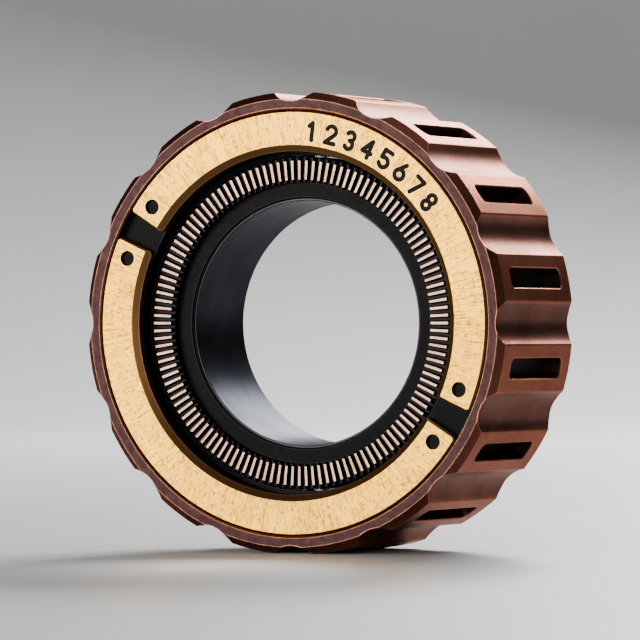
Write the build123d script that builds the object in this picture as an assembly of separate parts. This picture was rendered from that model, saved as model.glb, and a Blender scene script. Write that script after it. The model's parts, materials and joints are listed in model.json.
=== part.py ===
from build123d import *
import os
from math import atan2, cos, degrees, hypot, radians, sin

# Ring-shaped click counter, millimetres. The ring's axis is Y, the toothed front faces -Y and the
# ring stands upright on two lobes. Everything is built with the axis on Z and the front face up,
# by depth below the front face, and turned upright on export.

DEPTH = 15.3
RUNNING_GAP = 0.05
FIT_GAP = 0.02
SAME = 0.01

# Grip sleeve
LOBES = 16
LOBE_STEP = 360 / LOBES
SLEEVE_BORE_R = 17.74
SLEEVE_PAD_R = 19.25
SLEEVE_CHAMFER = 0.6
GROOVE_BOTTOM_R = 18.48
GROOVE_CUTTER_R = 2.6
SLOT_LENGTH = 10.75
SLOT_WIDTH = 1.7
SLOT_CORNER_R = 0.6
SLEEVE_LIP_R = 16.6
LIP_TOP = 13.9
LIP_BOTTOM = 14.4
EDGE_BREAK = 0.12
WINDOW_BREAK = 0.08
LOBE_EDGE_R = 0.28

# Index plates
PLATE_INNER_R = 14.3
PLATE_OUTER_R = 17.66
PLATE_THICKNESS = 1.0
PLATE_BEVEL = 0.14
INNER_BEVEL_WIDTH = 0.52
INNER_BEVEL_DEPTH = 0.35
PLATE_CORNER_R = 0.35
GAP_CENTRE = 118.4
GAP_WIDTH = 7.8
PIN_OFFSET = 8.7
PIN_CIRCLE_R = 16.17
PIN_HOLE_R = 0.65
PIN_TOP = 0.4
PIN_BOTTOM = 2.4

# Numerals
DIGIT_HEIGHT = 1.42
DIGIT_WIDTH = 0.84
DIGIT_STROKE = 0.4
DIGIT_CIRCLE_R = 16.0
DIGIT_START = 6.9
DIGIT_STEP = 6.4
DIGIT_DEPTH = 0.3
INFILL_DROP = 0.08

# Drum and window band
DRUM_R = 17.4
DRUM_STEP = 2.6
DRUM_LIP_R = 14.05
DRUM_SEAT_TOP = 5.4
DRUM_SEAT_R = 14.52
BAND_TOP = 1.2
BAND_BOTTOM = 13.7

# Core: sleeve, liner and click ring
SLEEVE_TOP = 2.78
SLEEVE_BOTTOM = DEPTH - SLEEVE_TOP
CORE_BORE_R = 10.42
CORE_CHAMFER = 0.14
CORE_R = 11.7
CORE_FLANGE_R = 12.6
FLANGE_TOP = 11.9
LINER_R = 10.25
LINER_SETBACK = 0.3
LINER_BREAK = 0.06
TEETH = 128
TOOTH_STEP = 360 / TEETH
TOOTH_TOP = 1.67
TOOTH_INNER_R = 11.97
TOOTH_OUTER_R = 13.53
TOOTH_ANGLE = 0.86
RIB_TOP = 2.06
RIB_INNER_R = 11.76
RIB_OUTER_R = 13.8
RIB_ANGLE = 0.74
CLICK_FLOOR = 2.4
CLICK_BOTTOM = 5.2
CLICK_R = 13.9
FLUTE_DEPTH = 0.06
FLUTE_ANGLE = 2.2
KEY_PINS = 3
KEY_PIN_R = 0.4
KEY_HOLE_TOP = 3.28
KEY_PIN_TOP = 3.38

# Detents
BALL_R = 0.6
DETENT_DEPTH = 4.0
DETENT_BORE_R = 0.65
PLUG_INNER = 16.3
PLUG_OUTER = 17.3
PLUG_SOCKET_R = 0.3
PLUG_FLOOR = 0.2
WIRE_R = 0.07
COIL_R = 0.42
COILS = 4.5

# Bearing and stack
RACE_TOP = 5.5
RACE_BOTTOM = 8.7
RACE_BALLS = 36
RACE_BALL_CIRCLE_R = 13.25
RACE_GROOVE_R = 0.63
INNER_RACE_R = 12.9
OUTER_RACE_R = 13.6
CAGE_HALF_WALL = 0.23
CAGE_HALF_DEPTH = 0.9
POCKET_R = 0.65
SPACER_R = 12.0
OUTER_SPACER_BOTTOM = 10.0
BUSH_BOTTOM = 11.4
SPRING_BOTTOM = 12.3
SPRING_SHEET = 0.25

# Back cover
COVER_INNER_R = 13.2
SCREWS = 8
SCREW_CIRCLE_R = 15.6
SCREW_R = 0.6
SCREW_HEAD_R = 1.05
SCREW_HEAD_DEPTH = 0.6
SCREW_BOTTOM = 11.5
SOCKET_R = 0.5


def at_depth(depth):
    return Pos(0, 0, DEPTH / 2 - depth)


def on_ring(radius, clockwise):
    return Pos(radius * sin(radians(clockwise)), radius * cos(radians(clockwise)), 0)


def down(sketch, top, bottom):
    return at_depth(bottom) * extrude(sketch, bottom - top)


def tube(inner, outer, top, bottom):
    return down(Circle(outer) - Circle(inner), top, bottom)


def upright(shape):
    return Rot(90, 0, 0) * shape


def sector(inner, outer, middle, span):
    """Ring sector with straight radial ends, centred on a clockwise angle."""
    first = radians(90 - middle - span / 2)
    last = radians(90 - middle + span / 2)
    centre = (first + last) / 2
    near = [(inner * cos(a), inner * sin(a)) for a in (first, centre, last)]
    far = [(outer * cos(a), outer * sin(a)) for a in (first, centre, last)]
    edges = [
        ThreePointArc(*near),
        Line(near[2], far[2]),
        ThreePointArc(*far),
        Line(far[0], near[0]),
    ]
    return make_face(edges)


def circular_edges(solid, radius, depth):
    level = DEPTH / 2 - depth
    return [
        edge
        for edge in solid.edges().filter_by(GeomType.CIRCLE)
        if abs(edge.radius - radius) < SAME and abs(edge.center().Z - level) < SAME
    ]


# Grip sleeve -------------------------------------------------------------------------------------

def window_cutter():
    length_mid = (SLEEVE_PAD_R + SLEEVE_BORE_R) / 2
    outline = RectangleRounded(SLOT_WIDTH, SLOT_LENGTH, SLOT_CORNER_R)
    window = extrude(Plane.XZ * outline, 2, both=True)
    return Pos(0, length_mid, 0) * window


def lobed_outline():
    """Circle with one concave finger groove between each pair of lobes, its corners rounded."""
    groove_r = GROOVE_BOTTOM_R + GROOVE_CUTTER_R
    grooves = [on_ring(groove_r, k * LOBE_STEP) * Circle(GROOVE_CUTTER_R) for k in range(LOBES)]
    outline = Circle(SLEEVE_PAD_R) - (Sketch() + grooves)
    return fillet(outline.vertices(), LOBE_EDGE_R)


def window_rims(body):
    """Outer edges of the windows, found as the holes in the curved pads."""
    rims = ShapeList()
    for face in body.faces().filter_by(GeomType.CYLINDER):
        middle = face.position_at(0.5, 0.5)
        if abs(hypot(middle.X, middle.Y) - SLEEVE_PAD_R) < SAME:
            for wire in face.inner_wires():
                rims += wire.edges()
    return rims


def grip_sleeve():
    blank = tube(SLEEVE_BORE_R, SLEEVE_PAD_R, 0, DEPTH)
    ends = circular_edges(blank, SLEEVE_PAD_R, 0) + circular_edges(blank, SLEEVE_PAD_R, DEPTH)
    body = chamfer(ends, SLEEVE_CHAMFER) & down(lobed_outline(), 0, DEPTH)
    body -= [Rot(0, 0, -(k + 0.5) * LOBE_STEP) * window_cutter() for k in range(LOBES)]
    body = chamfer(window_rims(body), WINDOW_BREAK)
    rims = circular_edges(body, SLEEVE_BORE_R, 0) + circular_edges(body, SLEEVE_BORE_R, DEPTH)
    body = chamfer(rims, EDGE_BREAK)
    return body + tube(SLEEVE_LIP_R, SLEEVE_BORE_R + EDGE_BREAK, LIP_TOP, LIP_BOTTOM)


# Index plates and numerals -----------------------------------------------------------------------

def stroke(start, end):
    """Straight pen stroke between two points given as parts of the digit's half size."""
    wide, tall = DIGIT_WIDTH / 2, DIGIT_HEIGHT / 2
    first = Vector(start[0] * wide, start[1] * tall)
    last = Vector(end[0] * wide, end[1] * tall)
    path = last - first
    slot = SlotCenterToCenter(path.length, DIGIT_STROKE)
    lean = degrees(atan2(path.Y, path.X))
    return Pos(*((first + last) / 2)) * Rot(0, 0, lean) * slot


def bowl(height, begin, sweep, radius=DIGIT_WIDTH / 2):
    """Curved pen stroke: an arc about a point on the digit's middle line."""
    arc = CenterArc((0, height * DIGIT_HEIGHT / 2), radius, begin, sweep)
    return SlotArc(arc, DIGIT_STROKE)


def loop(height, radius=DIGIT_WIDTH / 2):
    """Closed pen stroke: a full circle about a point on the digit's middle line."""
    ring = Circle(radius + DIGIT_STROKE / 2) - Circle(radius - DIGIT_STROKE / 2)
    return Pos(0, height * DIGIT_HEIGHT / 2) * ring


def digit(value):
    top = 1 - DIGIT_WIDTH / DIGIT_HEIGHT
    small = DIGIT_HEIGHT / 4
    strokes = {
        1: lambda: stroke((0.1, 1), (0.1, -1)) + stroke((0.1, 1), (-0.6, 0.6)),
        2: lambda: bowl(top, -35, 200) + stroke((0.82, 0.07), (-1, -1)) + stroke((-1, -1), (1, -1)),
        3: lambda: bowl(0.5, -90, 240, small) + bowl(-0.5, -150, 240, small),
        4: lambda: stroke((0.5, -1), (0.5, 1)) + stroke((0.5, 1), (-1, -0.4)) + stroke((-1, -0.4), (1, -0.4)),
        5: lambda: bowl(-top, -150, 270) + stroke((-0.82, 0.07), (-0.8, 1)) + stroke((-0.8, 1), (0.9, 1)),
        6: lambda: loop(-top) + stroke((-0.95, 0.15 - top), (0.3, 1)),
        7: lambda: stroke((-1, 1), (1, 1)) + stroke((1, 1), (-0.2, -1)),
        8: lambda: loop(0.5, small) + loop(-0.5, small),
    }
    return strokes[value]()


def numerals(top, bottom):
    figures = []
    for value in range(1, 9):
        angle = DIGIT_START + (value - 1) * DIGIT_STEP
        figure = on_ring(DIGIT_CIRCLE_R, angle) * Rot(0, 0, -angle) * digit(value)
        figures.append(down(figure, top, bottom))
    return figures


def pin_places(middle):
    half = (180 - GAP_WIDTH) / 2 - (PIN_OFFSET - GAP_WIDTH / 2)
    return [on_ring(PIN_CIRCLE_R, middle + side * half) for side in (-1, 1)]


def inner_bevel():
    """Cone that cuts the wide bevel round the inner edge of both plates."""
    cone = Cone(PLATE_INNER_R - INNER_BEVEL_WIDTH, PLATE_INNER_R + INNER_BEVEL_WIDTH, 2 * INNER_BEVEL_DEPTH)
    return at_depth(INNER_BEVEL_DEPTH) * cone


def index_plate(middle):
    outline = sector(PLATE_INNER_R, PLATE_OUTER_R, middle, 180 - GAP_WIDTH)
    outline = fillet(outline.vertices(), PLATE_CORNER_R)
    plate = down(outline, 0, PLATE_THICKNESS)
    plate = chamfer(plate.faces().sort_by(Axis.Z)[-1].edges(), PLATE_BEVEL)
    pin_hole = down(Circle(PIN_HOLE_R), 0, PLATE_THICKNESS)
    return plate - inner_bevel() - [place * pin_hole for place in pin_places(middle)]


NUMBERED_MIDDLE = GAP_CENTRE - 90
PLAIN_MIDDLE = GAP_CENTRE + 90


def numbered_plate():
    return index_plate(NUMBERED_MIDDLE) - numerals(-1, DIGIT_DEPTH)


def plate_pins():
    pin = down(Circle(PIN_HOLE_R - FIT_GAP), PIN_TOP, PIN_BOTTOM)
    pin = chamfer(pin.faces().sort_by(Axis.Z)[-1].edges(), EDGE_BREAK)
    places = pin_places(NUMBERED_MIDDLE) + pin_places(PLAIN_MIDDLE)
    return Compound([place * pin for place in places])


# Drum and what it carries ------------------------------------------------------------------------

def detent_bore():
    """One radial hole above the click ring and one below it."""
    bore = Cylinder(DETENT_BORE_R, 2 * DRUM_R, rotation=(90, 0, 0))
    return at_depth(DETENT_DEPTH) * (bore - Cylinder(CLICK_R, 2 * BALL_R + DETENT_BORE_R))


def screw_places():
    return [on_ring(SCREW_CIRCLE_R, (k + 0.5) * 360 / SCREWS) for k in range(SCREWS)]


def drum():
    body = tube(PLATE_INNER_R, DRUM_R, PLATE_THICKNESS, DRUM_STEP)
    body += tube(DRUM_LIP_R, DRUM_R, DRUM_STEP, DRUM_SEAT_TOP)
    body += tube(DRUM_SEAT_R, DRUM_R, DRUM_SEAT_TOP, LIP_TOP)
    body -= detent_bore()
    pins = [p * down(Circle(PIN_HOLE_R), 0, PIN_BOTTOM) for p in
            pin_places(NUMBERED_MIDDLE) + pin_places(PLAIN_MIDDLE)]
    screws = [p * down(Circle(SCREW_R + FIT_GAP), SCREW_BOTTOM, DEPTH) for p in screw_places()]
    return body - pins - screws


def window_band():
    return tube(DRUM_R + FIT_GAP, SLEEVE_BORE_R - FIT_GAP, BAND_TOP, BAND_BOTTOM)


def back_cover():
    body = tube(COVER_INNER_R, PLATE_OUTER_R, LIP_BOTTOM, DEPTH)
    body += tube(COVER_INNER_R, DRUM_SEAT_R - RUNNING_GAP, SPRING_BOTTOM, LIP_BOTTOM)
    rims = circular_edges(body, PLATE_OUTER_R, DEPTH) + circular_edges(body, COVER_INNER_R, DEPTH)
    body = chamfer(rims, EDGE_BREAK)
    body -= [p * down(Circle(SCREW_R + RUNNING_GAP), LIP_TOP, DEPTH + 1) for p in screw_places()]
    head_top = DEPTH - SCREW_HEAD_DEPTH
    return body - [p * down(Circle(SCREW_HEAD_R + RUNNING_GAP), head_top, DEPTH + 1) for p in screw_places()]


def cover_screws():
    head_top = DEPTH - SCREW_HEAD_DEPTH
    screw = down(Circle(SCREW_R), SCREW_BOTTOM + EDGE_BREAK, head_top)
    screw += down(Circle(SCREW_HEAD_R), head_top, DEPTH)
    screw -= down(RegularPolygon(SOCKET_R, 6), DEPTH - SCREW_HEAD_DEPTH * 0.7, DEPTH + 1)
    return Compound([place * screw for place in screw_places()])


def detent_pair(solid):
    return at_depth(DETENT_DEPTH) * solid


def detent_plugs():
    length = PLUG_OUTER - PLUG_INNER
    plug = Cylinder(DETENT_BORE_R - FIT_GAP, length, rotation=(90, 0, 0))
    socket = extrude(Plane.XZ * RegularPolygon(PLUG_SOCKET_R, 6), length / 2, both=True)
    plug -= Pos(0, PLUG_FLOOR, 0) * socket
    middle = (PLUG_INNER + PLUG_OUTER) / 2
    upper = Pos(0, middle, 0) * plug
    return Compound([detent_pair(upper), detent_pair(Rot(0, 0, 180) * upper)])


def ball_seat_r():
    return CLICK_R - FLUTE_DEPTH + FIT_GAP + BALL_R


def detent_spring(turn):
    bottom = ball_seat_r() + BALL_R + WIRE_R + FIT_GAP
    length = PLUG_INNER - bottom - WIRE_R - FIT_GAP
    path = Helix(length / COILS, length, COIL_R)
    wire = sweep(Plane(path @ 0, z_dir=path % 0) * Circle(WIRE_R), path=path)
    spring = Pos(0, bottom, 0) * Rot(-90, 0, 0) * wire
    return detent_pair(Rot(0, 0, turn) * spring)


def detent_ball(turn):
    return detent_pair(Rot(0, 0, turn) * Pos(0, ball_seat_r(), 0) * Sphere(BALL_R))


# Bearing -----------------------------------------------------------------------------------------

def raceway():
    groove = Torus(RACE_BALL_CIRCLE_R, RACE_GROOVE_R)
    return at_depth((RACE_TOP + RACE_BOTTOM) / 2) * groove


def bearing_inner_race():
    return tube(CORE_R + FIT_GAP, INNER_RACE_R, RACE_TOP, RACE_BOTTOM) - raceway()


def bearing_outer_race():
    return tube(OUTER_RACE_R, DRUM_SEAT_R - FIT_GAP, DRUM_SEAT_TOP, RACE_BOTTOM) - raceway()


def ball_places():
    return [on_ring(RACE_BALL_CIRCLE_R, k * 360 / RACE_BALLS) for k in range(RACE_BALLS)]


def bearing_balls():
    middle = at_depth((RACE_TOP + RACE_BOTTOM) / 2)
    return Compound([middle * place * Sphere(BALL_R) for place in ball_places()])


def bearing_cage():
    middle = (RACE_TOP + RACE_BOTTOM) / 2
    inner, outer = RACE_BALL_CIRCLE_R - CAGE_HALF_WALL, RACE_BALL_CIRCLE_R + CAGE_HALF_WALL
    cage = tube(inner, outer, middle - CAGE_HALF_DEPTH, middle + CAGE_HALF_DEPTH)
    pocket = Pos(0, RACE_BALL_CIRCLE_R, 0) * Cylinder(POCKET_R, 2, rotation=(90, 0, 0))
    pockets = [Rot(0, 0, k * 360 / RACE_BALLS) * pocket for k in range(RACE_BALLS)]
    return cage - [at_depth(middle) * cut for cut in pockets]


def disc_spring():
    """Shallow cone that presses the outer stack forward, turned from a flat sheet section."""
    inner, outer = COVER_INNER_R + RUNNING_GAP, DRUM_SEAT_R - 2 * RUNNING_GAP
    top, bottom = DEPTH / 2 - BUSH_BOTTOM, DEPTH / 2 - SPRING_BOTTOM
    section = Polyline((inner, bottom), (outer, top - SPRING_SHEET), (outer, top),
                       (inner, bottom + SPRING_SHEET), (inner, bottom))
    return revolve(Plane.XZ * make_face(section), Axis.Z)


# Core --------------------------------------------------------------------------------------------

def key_pin_places():
    return [on_ring(CORE_R, 45 + k * 360 / KEY_PINS) for k in range(KEY_PINS)]


def key_pin_holes():
    hole = down(Circle(KEY_PIN_R + FIT_GAP / 2), KEY_HOLE_TOP, CLICK_BOTTOM)
    return [place * hole for place in key_pin_places()]


def inner_sleeve():
    body = tube(CORE_BORE_R, CORE_R, SLEEVE_TOP, SLEEVE_BOTTOM)
    body += tube(CORE_BORE_R, CORE_FLANGE_R, FLANGE_TOP, SLEEVE_BOTTOM)
    rims = circular_edges(body, CORE_BORE_R, SLEEVE_TOP) + circular_edges(body, CORE_BORE_R, SLEEVE_BOTTOM)
    return chamfer(rims, CORE_CHAMFER) - key_pin_holes()


def bore_liner():
    top, bottom = SLEEVE_TOP + LINER_SETBACK, SLEEVE_BOTTOM - LINER_SETBACK
    liner = tube(LINER_R, CORE_BORE_R - FIT_GAP, top, bottom)
    rims = circular_edges(liner, LINER_R, top) + circular_edges(liner, LINER_R, bottom)
    return chamfer(rims, LINER_BREAK)


def polar(radius, clockwise):
    return (radius * sin(radians(clockwise)), radius * cos(radians(clockwise)))


def fluted_disc():
    """Disc with one shallow concave flute per click round its rim."""
    edges = []
    for k in range(TEETH):
        centre = k * TOOTH_STEP
        begin, end = centre - FLUTE_ANGLE / 2, centre + FLUTE_ANGLE / 2
        bottom = polar(CLICK_R - FLUTE_DEPTH, centre)
        edges.append(ThreePointArc(polar(CLICK_R, begin), bottom, polar(CLICK_R, end)))
        crest = polar(CLICK_R, centre + TOOTH_STEP / 2)
        edges.append(ThreePointArc(polar(CLICK_R, end), crest, polar(CLICK_R, begin + TOOTH_STEP)))
    return make_face(Wire(edges))


def click_ring():
    base = down(fluted_disc(), CLICK_FLOOR, CLICK_BOTTOM)
    base -= down(Circle(CORE_R + FIT_GAP), 0, DEPTH)
    base -= key_pin_holes()
    tooth = down(sector(TOOTH_INNER_R, TOOTH_OUTER_R, 0, TOOTH_ANGLE), TOOTH_TOP, CLICK_FLOOR)
    rib = down(sector(RIB_INNER_R, RIB_OUTER_R, TOOTH_STEP / 2, RIB_ANGLE), RIB_TOP, CLICK_FLOOR)
    turns = [Rot(0, 0, -k * TOOTH_STEP) for k in range(TEETH)]
    return base.fuse(*[turn * tooth for turn in turns], *[turn * rib for turn in turns])


def click_ring_pins():
    pin = down(Circle(KEY_PIN_R), KEY_PIN_TOP, CLICK_BOTTOM)
    return Compound([place * pin for place in key_pin_places()])


def build():
    core_inner = CORE_R + FIT_GAP
    seat = DRUM_SEAT_R - FIT_GAP
    return {
        "grip_sleeve": grip_sleeve(),
        "window_band": window_band(),
        "drum": drum(),
        "index_plate_numbered": numbered_plate(),
        "index_plate_plain": index_plate(PLAIN_MIDDLE),
        "numeral_infill": Compound(numerals(INFILL_DROP, DIGIT_DEPTH)),
        "plate_pins": plate_pins(),
        "bearing_outer_race": bearing_outer_race(),
        "outer_spacer": tube(OUTER_RACE_R, seat, RACE_BOTTOM, OUTER_SPACER_BOTTOM),
        "rear_bush": tube(SPACER_R + RUNNING_GAP, seat, OUTER_SPACER_BOTTOM, BUSH_BOTTOM),
        "disc_spring": disc_spring(),
        "back_cover": back_cover(),
        "cover_screws": cover_screws(),
        "detent_plugs": detent_plugs(),
        "detent_spring_top": detent_spring(0),
        "detent_spring_bottom": detent_spring(180),
        "detent_ball_top": detent_ball(0),
        "detent_ball_bottom": detent_ball(180),
        "bearing_balls": bearing_balls(),
        "bearing_cage": bearing_cage(),
        "inner_sleeve": inner_sleeve(),
        "bore_liner": bore_liner(),
        "click_ring": click_ring(),
        "click_ring_pins": click_ring_pins(),
        "front_spacer": tube(core_inner, CORE_FLANGE_R, CLICK_BOTTOM, RACE_TOP),
        "bearing_inner_race": bearing_inner_race(),
        "inner_spacer": tube(core_inner, SPACER_R, RACE_BOTTOM, FLANGE_TOP),
    }


os.makedirs("parts", exist_ok=True)
for node, shape in build().items():
    export_step(upright(shape), f"parts/{node}.step")
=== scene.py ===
import bpy
import json
import math
from mathutils import Matrix, Vector


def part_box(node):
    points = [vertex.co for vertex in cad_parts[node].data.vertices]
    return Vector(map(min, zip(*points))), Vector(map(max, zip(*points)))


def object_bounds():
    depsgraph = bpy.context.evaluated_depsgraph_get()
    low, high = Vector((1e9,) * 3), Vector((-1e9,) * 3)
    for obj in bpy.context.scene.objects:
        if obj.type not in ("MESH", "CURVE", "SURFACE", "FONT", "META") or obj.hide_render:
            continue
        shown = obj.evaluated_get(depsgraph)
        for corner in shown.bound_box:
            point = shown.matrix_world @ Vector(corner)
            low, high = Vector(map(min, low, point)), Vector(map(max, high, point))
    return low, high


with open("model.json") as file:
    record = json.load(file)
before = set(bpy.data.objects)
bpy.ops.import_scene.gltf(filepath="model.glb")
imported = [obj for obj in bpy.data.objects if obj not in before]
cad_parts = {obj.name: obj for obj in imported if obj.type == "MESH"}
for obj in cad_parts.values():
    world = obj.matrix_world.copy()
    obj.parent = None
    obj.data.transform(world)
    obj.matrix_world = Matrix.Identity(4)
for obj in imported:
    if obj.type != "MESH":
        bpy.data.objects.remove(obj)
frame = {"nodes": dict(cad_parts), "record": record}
cad_box = [list(corner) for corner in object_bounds()]
nodes = frame["nodes"]
MM = 0.001

# Each pair is where a mask is 0 and where it is 1. Depths run from the nearer end face of the ring,
# or from the front of the click ring for its teeth and ribs, and radii run from the ring's axis.
FACE_DEPTH = (0.03 * MM, 0.01 * MM)
CHAMFER_DEPTH = (0.62 * MM, 0.56 * MM)
PAD_RADIUS = (18.95 * MM, 19.22 * MM)
TOOTH_TOP_DEPTH = (0.06 * MM, 0.02 * MM)
RIB_TOP_DEPTH = (0.45 * MM, 0.41 * MM)
# Cosine between the bevelled and the plain normal, on a flat and on an edge.
FLAT_COSINE = 0.995
EDGE_COSINE = 0.93
BEVEL_SAMPLES = 6
# Widths of the edge masks: painted edge highlights on brass and black parts, and on copper rubbed
# wear plus a painted edge highlight.
COPPER_WEAR_AND_HIGHLIGHT = 0.13 * MM
BRASS_EDGE_HIGHLIGHT = 0.07 * MM
BLACK_EDGE_HIGHLIGHT = 0.08 * MM

# ---------------------------------------------------------------- node helpers


class Graph:
    """Short helpers for one material's node tree."""

    def __init__(self, name):
        self.material = bpy.data.materials.new(name)
        self.material.use_nodes = True
        self.tree = self.material.node_tree
        self.shader = self.tree.nodes["Principled BSDF"]
        self.coords = self.node("ShaderNodeTexCoord").outputs["Object"]

    def node(self, kind, **settings):
        made = self.tree.nodes.new(kind)
        for key, value in settings.items():
            setattr(made, key, value)
        return made

    def feed(self, socket, value):
        if isinstance(value, bpy.types.NodeSocket):
            self.tree.links.new(value, socket)
        elif value is not None:
            socket.default_value = value

    def math(self, operation, a, b=None):
        made = self.node("ShaderNodeMath", operation=operation)
        for socket, value in zip(made.inputs, (a, b)):
            self.feed(socket, value)
        return made.outputs[0]

    def noise(self, scale, detail, roughness, where=None, distortion=0.0):
        made = self.node("ShaderNodeTexNoise")
        self.feed(made.inputs["Vector"], where or self.coords)
        made.inputs["Scale"].default_value = scale
        made.inputs["Detail"].default_value = detail
        made.inputs["Roughness"].default_value = roughness
        made.inputs["Distortion"].default_value = distortion
        return made.outputs["Fac"]

    def steps(self, value, low, high, out_low=0.0, out_high=1.0):
        made = self.node("ShaderNodeMapRange", clamp=True)
        for socket, number in zip(made.inputs, (value, low, high, out_low, out_high)):
            self.feed(socket, number)
        return made.outputs[0]

    def mix(self, factor, a, b):
        made = self.node("ShaderNodeMix", data_type="RGBA")
        self.feed(made.inputs[0], factor)
        for socket, value in zip((made.inputs[6], made.inputs[7]), (a, b)):
            linked = isinstance(value, bpy.types.NodeSocket)
            self.feed(socket, value if linked else (*value, 1.0))
        return made.outputs[2]

    def parts(self):
        made = self.node("ShaderNodeSeparateXYZ")
        self.feed(made.inputs[0], self.coords)
        return made.outputs

    def radius(self):
        """Distance from the ring's axis."""
        x, _, z = self.parts()
        squares = self.math("ADD", self.math("MULTIPLY", x, x), self.math("MULTIPLY", z, z))
        return self.math("SQRT", squares)

    def depth(self):
        """Depth below the nearer of the ring's two end faces."""
        return self.math("SUBTRACT", cad_box[1][1], self.math("ABSOLUTE", self.parts()[1]))

    def polar(self, turns_scale, radius_scale):
        """Coordinates that run round the ring, along its radius and along its axis."""
        x, y, z = self.parts()
        angle = self.math("ARCTAN2", x, z)
        made = self.node("ShaderNodeCombineXYZ")
        self.feed(made.inputs[0], self.math("MULTIPLY", angle, turns_scale))
        self.feed(made.inputs[1], self.math("MULTIPLY", self.radius(), radius_scale))
        self.feed(made.inputs[2], self.math("MULTIPLY", y, radius_scale))
        return made.outputs[0]

    def edges(self, width):
        """1 close to an edge and 0 on flats, from the bevelled against the plain shading normal."""
        bevel = self.node("ShaderNodeBevel", samples=BEVEL_SAMPLES)
        bevel.inputs["Radius"].default_value = width
        plain = self.node("ShaderNodeNewGeometry").outputs["Normal"]
        dot = self.node("ShaderNodeVectorMath", operation="DOT_PRODUCT")
        self.feed(dot.inputs[0], bevel.outputs[0])
        self.feed(dot.inputs[1], plain)
        return self.steps(dot.outputs["Value"], FLAT_COSINE, EDGE_COSINE)

    def bump(self, height, strength, distance, under=None):
        made = self.node("ShaderNodeBump")
        made.inputs["Strength"].default_value = strength
        made.inputs["Distance"].default_value = distance
        self.feed(made.inputs["Height"], height)
        if under is not None:
            self.feed(made.inputs["Normal"], under)
        return made.outputs[0]

    def done(self, colour, roughness, metallic, normal=None, **fixed):
        self.feed(self.shader.inputs["Base Color"], colour)
        self.feed(self.shader.inputs["Roughness"], roughness)
        self.shader.inputs["Metallic"].default_value = metallic
        if normal is not None:
            self.feed(self.shader.inputs["Normal"], normal)
        for name, value in fixed.items():
            self.shader.inputs[name.replace("_", " ")].default_value = value
        return self.material


# ---------------------------------------------------------------- materials


def copper():
    g = Graph("antique_copper")
    cloud = g.noise(scale=260, detail=4.0, roughness=0.6)
    grain = g.noise(scale=5200, detail=2.0, roughness=0.6)
    tumble = g.noise(scale=1500, detail=3.0, roughness=0.7, distortion=0.6)
    depth = g.depth()
    face = g.steps(depth, *FACE_DEPTH)
    sloped = g.math("MULTIPLY", g.steps(depth, *CHAMFER_DEPTH), g.math("SUBTRACT", 1.0, face))
    pad = g.steps(g.radius(), *PAD_RADIUS)
    shade = g.mix(g.steps(cloud, 0.35, 0.68), (0.085, 0.042, 0.035), (0.15, 0.076, 0.063))
    rubbed = g.mix(g.steps(cloud, 0.3, 0.7), (0.22, 0.068, 0.042), (0.30, 0.104, 0.068))
    mauve = g.mix(g.steps(tumble, 0.35, 0.65), (0.037, 0.019, 0.019), (0.058, 0.030, 0.029))
    brown = g.mix(g.steps(tumble, 0.3, 0.7), (0.09, 0.028, 0.016), (0.14, 0.046, 0.028))
    tone = g.mix(g.math("MULTIPLY", pad, g.steps(tumble, 0.3, 0.6, 0.55, 1.0)), shade, rubbed)
    tone = g.mix(g.math("MULTIPLY", sloped, 0.85), tone, brown)
    tone = g.mix(face, tone, mauve)
    tone = g.mix(g.steps(tumble, 0.58, 0.74, 0.0, 0.45), tone, (0.09, 0.038, 0.030))
    # Rubbed edges: real wear that is smoother, and also a painted edge highlight, since the edges
    # are painted bright copper.
    wear_and_edge_highlight = g.math("MULTIPLY", g.edges(COPPER_WEAR_AND_HIGHLIGHT), g.steps(tumble, 0.25, 0.6, 0.5, 1.0))
    tone = g.mix(wear_and_edge_highlight, tone, (0.62, 0.25, 0.155))
    rough = g.steps(grain, 0.3, 0.7, 0.32, 0.46)
    rough = g.math("ADD", rough, g.math("MULTIPLY", face, 0.1))
    rough = g.math("SUBTRACT", rough, g.math("MULTIPLY", wear_and_edge_highlight, 0.12))
    dents = g.bump(tumble, strength=0.3, distance=0.03 * MM)
    normal = g.bump(grain, strength=0.35, distance=0.02 * MM, under=dents)
    return g.done(tone, rough, 1.0, normal, Specular_Tint=(0.66, 0.52, 0.49, 1.0))


def brass():
    g = Graph("satin_brass")
    brushed = g.polar(turns_scale=330, radius_scale=1300)
    scored = g.polar(turns_scale=200, radius_scale=620)
    brushing = g.noise(scale=1.0, detail=3.0, roughness=0.7, where=brushed)
    scratch = g.noise(scale=1.0, detail=2.0, roughness=0.7, where=scored, distortion=1.2)
    mottle = g.noise(scale=1150, detail=4.0, roughness=0.7, distortion=0.8)
    speck = g.noise(scale=3600, detail=2.0, roughness=0.5)
    cloud = g.noise(scale=190, detail=3.0, roughness=0.5)
    face = g.steps(g.depth(), *FACE_DEPTH)
    tone = g.mix(g.steps(cloud, 0.35, 0.65), (0.96, 0.46, 0.028), (1.0, 0.55, 0.050))
    tone = g.mix(g.steps(mottle, 0.50, 0.66, 0.0, 0.75), tone, (0.66, 0.31, 0.028))
    tone = g.mix(g.steps(scratch, 0.55, 0.61, 0.0, 0.9), tone, (0.22, 0.095, 0.01))
    tone = g.mix(g.steps(speck, 0.58, 0.68, 0.0, 0.75), tone, (0.24, 0.11, 0.012))
    # Painted shade: off the end face, on the chamfer and sides, the brass is painted dark
    # olive-brown.
    tone = g.mix(face, (0.16, 0.075, 0.028), tone)
    # Painted edge highlight: the brass edges are painted bright gold.
    tone = g.mix(g.math("MULTIPLY", g.edges(BRASS_EDGE_HIGHLIGHT), 0.8), tone, (1.0, 0.66, 0.26))
    rough = g.steps(brushing, 0.3, 0.7, 0.33, 0.47)
    scratches = g.bump(scratch, strength=0.35, distance=0.012 * MM)
    normal = g.bump(brushing, strength=0.25, distance=0.008 * MM, under=scratches)
    return g.done(tone, rough, 1.0, normal, Specular_Tint=(1.0, 0.72, 0.30, 1.0))


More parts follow.
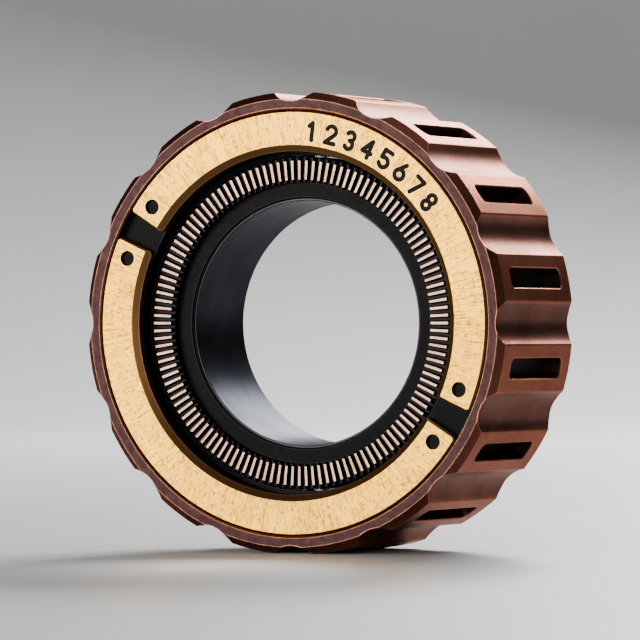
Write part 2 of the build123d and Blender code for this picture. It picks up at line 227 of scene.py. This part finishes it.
def black(name, colour, rough, metallic=0.0, edge=(0.16, 0.155, 0.15)):
    g = Graph(name)
    grain = g.noise(scale=4200, detail=3.0, roughness=0.6)
    cloud = g.noise(scale=300, detail=3.0, roughness=0.6)
    lighter = tuple(min(1.0, c * 1.35 + 0.0006) for c in colour)
    tone = g.mix(g.steps(cloud, 0.35, 0.7), colour, lighter)
    # Painted edge highlight: the edges are painted the lighter edge tone.
    tone = g.mix(g.math("MULTIPLY", g.edges(BLACK_EDGE_HIGHLIGHT), 0.5), tone, edge)
    roughness = g.steps(grain, 0.3, 0.7, rough - 0.07, rough + 0.07)
    normal = g.bump(grain, strength=0.25, distance=0.01 * MM)
    return g.done(tone, roughness, metallic, normal, Specular_IOR_Level=0.04)


def click_steel():
    """Blackened ring whose tooth tops are polished bright, told apart by depth; deeper than the rib
    tops it is painted darker still, as painted shade.
    """
    g = Graph("click_steel")
    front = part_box("click_ring")[0][1]
    depth = g.math("SUBTRACT", g.parts()[1], front)
    top = g.steps(depth, *TOOTH_TOP_DEPTH)
    rib = g.steps(depth, *RIB_TOP_DEPTH)
    grain = g.noise(scale=5200, detail=3.0, roughness=0.6)
    cloud = g.noise(scale=420, detail=2.0, roughness=0.5)
    # Painted shade: deeper than the rib tops the blackened steel is painted darker than the grey
    # rib tops.
    recess_shade = g.mix(grain, (0.0008, 0.0008, 0.0008), (0.002, 0.002, 0.002))
    grey = g.mix(grain, (0.006, 0.006, 0.0075), (0.011, 0.011, 0.0135))
    light = g.mix(g.steps(cloud, 0.35, 0.65), (0.34, 0.20, 0.135), (0.50, 0.31, 0.215))
    tone = g.mix(rib, recess_shade, grey)
    tone = g.mix(top, tone, light)
    rough = g.steps(grain, 0.3, 0.7, 0.30, 0.42)
    normal = g.bump(grain, strength=0.2, distance=0.008 * MM)
    return g.done(tone, rough, 1.0, normal, Specular_Tint=(0.5, 0.5, 0.5, 1.0))


def satin_steel(name, colour, rough):
    g = Graph(name)
    rings = g.polar(turns_scale=3.0, radius_scale=6000)
    turned = g.noise(scale=1.0, detail=3.0, roughness=0.6, where=rings)
    cloud = g.noise(scale=240, detail=3.0, roughness=0.5)
    darker = tuple(c * 0.72 for c in colour)
    tone = g.mix(g.steps(cloud, 0.35, 0.65), darker, colour)
    roughness = g.steps(turned, 0.3, 0.7, rough - 0.06, rough + 0.06)
    tint = (*(0.4 + 0.6 * c for c in colour), 1.0)
    normal = g.bump(turned, strength=0.15, distance=0.006 * MM)
    return g.done(tone, roughness, 1.0, normal, Specular_Tint=tint)


def enamel():
    g = Graph("dark_enamel")
    grain = g.noise(scale=4200, detail=3.0, roughness=0.6)
    tone = g.mix(grain, (0.005, 0.004, 0.003), (0.014, 0.011, 0.009))
    roughness = g.steps(grain, 0.3, 0.7, 0.42, 0.6)
    normal = g.bump(grain, strength=0.4, distance=0.02 * MM)
    return g.done(tone, roughness, 0.0, normal, Specular_IOR_Level=0.08)


finishes = {
    "grip_sleeve": copper(),
    "index_plates": brass(),
    "black_anodised": black("black_anodised", (0.0030, 0.0030, 0.0036), 0.38),
    "click_ring": click_steel(),
    "liner": satin_steel("liner_steel", (0.045, 0.046, 0.054), 0.36),
    # Painted shade: the window band is a near-black sheet standing in for the dark inside seen
    # through the windows.
    "window_band": black("window_band_painted_shade", (0.006, 0.006, 0.006), 0.5),
    "infill": enamel(),
    "pins": black("blackened_pin", (0.006, 0.0055, 0.005), 0.42),
    "steel": satin_steel("bearing_steel", (0.30, 0.30, 0.31), 0.26),
    "screws": black("blackened_screw", (0.022, 0.022, 0.024), 0.34, 0.6),
    "cage": satin_steel("cage_brass", (0.66, 0.49, 0.26), 0.3),
    "bush": black("acetal", (0.62, 0.60, 0.56), 0.5, 0.0, (0.7, 0.68, 0.64)),
    "spring_steel": satin_steel("spring_steel", (0.45, 0.45, 0.47), 0.28),
}

for part in frame["record"]["subparts"]:
    carried = nodes[part["node"]]
    carried.data.materials.clear()
    carried.data.materials.append(finishes[part["material_slot"]])

# ---------------------------------------------------------------- stage

FLOOR_Z = cad_box[0][2]
BEND_STEPS = 16
BACKDROP_TURN = math.radians(25)


def backdrop():
    """Pale floor that curves up into a pale wall behind the ring."""
    half, front, back, bend, height = 1.2, -1.4, 0.55, 0.35, 1.3
    profile = [(front, 0.0), (back, 0.0)]
    for k in range(1, BEND_STEPS + 1):
        turn = math.pi / 2 * k / BEND_STEPS
        profile.append((back + bend * math.sin(turn), bend * (1 - math.cos(turn))))
    profile.append((back + bend, height))
    verts = [(x, y, FLOOR_Z + z) for x in (-half, half) for y, z in profile]
    count = len(profile)
    faces = [(k, k + 1, count + k + 1, count + k) for k in range(count - 1)]
    mesh = bpy.data.meshes.new("floor")
    mesh.from_pydata(verts, [], faces)
    for face in mesh.polygons:
        face.use_smooth = True
    floor = bpy.data.objects.new("floor", mesh)
    floor.rotation_euler = (0, 0, BACKDROP_TURN)
    bpy.context.scene.collection.objects.link(floor)
    g = Graph("pale_floor")
    cloud = g.noise(scale=40, detail=3.0, roughness=0.5)
    tone = g.mix(cloud, (0.54, 0.54, 0.545), (0.57, 0.57, 0.575))
    floor.data.materials.append(g.done(tone, roughness=0.5, metallic=0.0))


backdrop()


def area_light(name, place, aim, size, power, tint=(1.0, 1.0, 1.0)):
    data = bpy.data.lights.new(name, "AREA")
    data.shape = "RECTANGLE"
    data.size, data.size_y = size
    data.energy = power
    data.color = tint
    lamp = bpy.data.objects.new(name, data)
    lamp.location = place
    lamp.rotation_euler = (Vector(aim) - Vector(place)).to_track_quat("-Z", "Y").to_euler()
    bpy.context.scene.collection.objects.link(lamp)


area_light("overhead", place=(0.10, 0.15, 0.70), aim=(0, 0.05, 0), size=(0.90, 0.50), power=1.9,
           tint=(1.0, 0.985, 0.96))
area_light("front_left", place=(-0.27, -0.56, 0.06), aim=(0, 0, 0), size=(0.34, 0.34), power=4.2,
           tint=(1.0, 0.965, 0.89))
area_light("front_right", place=(0.30, -0.60, 0.12), aim=(0, 0, 0), size=(0.30, 0.30), power=1.1,
           tint=(1.0, 0.98, 0.95))
area_light("back_top", place=(-0.05, 0.60, 0.30), aim=(0, 0, 0), size=(0.30, 0.18), power=8.0)

WORLD_COLOUR = (0.78, 0.79, 0.80, 1)
WORLD_STRENGTH = 0.12

world = bpy.data.worlds.new("soft_grey")
world.use_nodes = True
background = world.node_tree.nodes["Background"]
background.inputs["Color"].default_value = WORLD_COLOUR
background.inputs["Strength"].default_value = WORLD_STRENGTH
bpy.context.scene.world = world

# ---------------------------------------------------------------- camera

PLATE_R = 17.5 * MM
AZIMUTH = math.radians(25.02)
ELEVATION = math.radians(-0.1)
# From the camera to the centre of the front face, in plate radii.
DISTANCE = 25.97
ASIDE = -0.1393
UP = -0.0146
# In millimetres of film.
LENS = 307.9
SENSOR = 36.0
NEAREST = 0.01
FARTHEST = 20


def aim_camera():
    right = Vector((math.cos(AZIMUTH), math.sin(AZIMUTH), 0))
    ahead = Vector((-math.sin(AZIMUTH) * math.cos(ELEVATION),
                    math.cos(AZIMUTH) * math.cos(ELEVATION), -math.sin(ELEVATION)))
    up = right.cross(ahead)
    data = bpy.data.cameras.new("camera")
    data.lens = LENS
    data.sensor_width = SENSOR
    data.clip_start = NEAREST
    data.clip_end = FARTHEST
    camera = bpy.data.objects.new("camera", data)
    face = Vector((0, cad_box[0][1], 0))
    place = face - PLATE_R * (ASIDE * right + UP * up + DISTANCE * ahead)
    turn = Matrix((right, up, -ahead)).transposed().to_4x4()
    camera.matrix_world = Matrix.Translation(place) @ turn
    bpy.context.scene.collection.objects.link(camera)
    bpy.context.scene.camera = camera


aim_camera()
